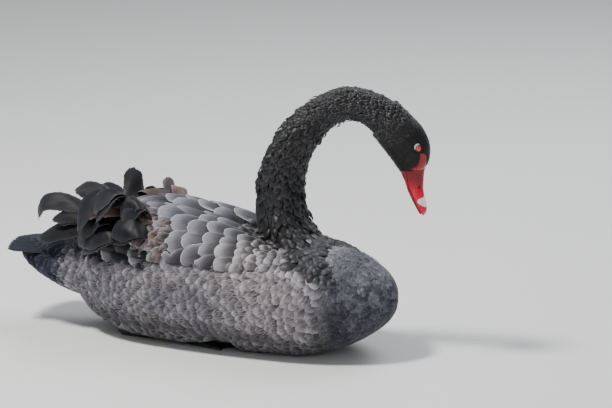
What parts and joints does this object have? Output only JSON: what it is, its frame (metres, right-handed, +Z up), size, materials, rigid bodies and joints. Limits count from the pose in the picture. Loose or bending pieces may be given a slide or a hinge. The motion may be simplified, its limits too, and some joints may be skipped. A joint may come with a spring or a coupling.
{
  "type": "black swan",
  "caption": "Still, life-size black swan resting on its belly, neck arched over and head lowered, wings folded with curled rear feathers, red bill.",
  "frame": {"origin": "on the floor under the middle of the belly", "axes": "+X towards the breast and the way the bird faces, +Y to its left, +Z up"},
  "size_m": [0.6471, 0.2355, 0.3856],
  "materials": {
    "breast_grey": "soft dark grey feathers",
    "neck_black": "short black feathers",
    "wing_grey": "grey vaned feathers with pale edges",
    "tail_slate": "slate black vaned feathers",
    "bill_red": "smooth crimson horn",
    "band_white": "smooth pale horn",
    "eye_red": "wet red eyeball",
    "leg_black": "scaled dark grey skin"
  },
  "bodies": {
    "root": {"torso": "breast_grey", "tail": "tail_slate", "wing_left": "wing_grey", "wing_right": "wing_grey", "neck_lower": "neck_black", "neck_middle": "neck_black", "neck_upper": "neck_black", "head": "neck_black", "bill_upper": "bill_red", "bill_lower": "bill_red", "bill_band": "band_white", "bill_nail": "bill_red", "eye_left": "eye_red", "eye_right": "eye_red", "leg_left": "leg_black", "leg_right": "leg_black", "foot_left": "leg_black", "foot_right": "leg_black"}
  },
  "joints": []
}
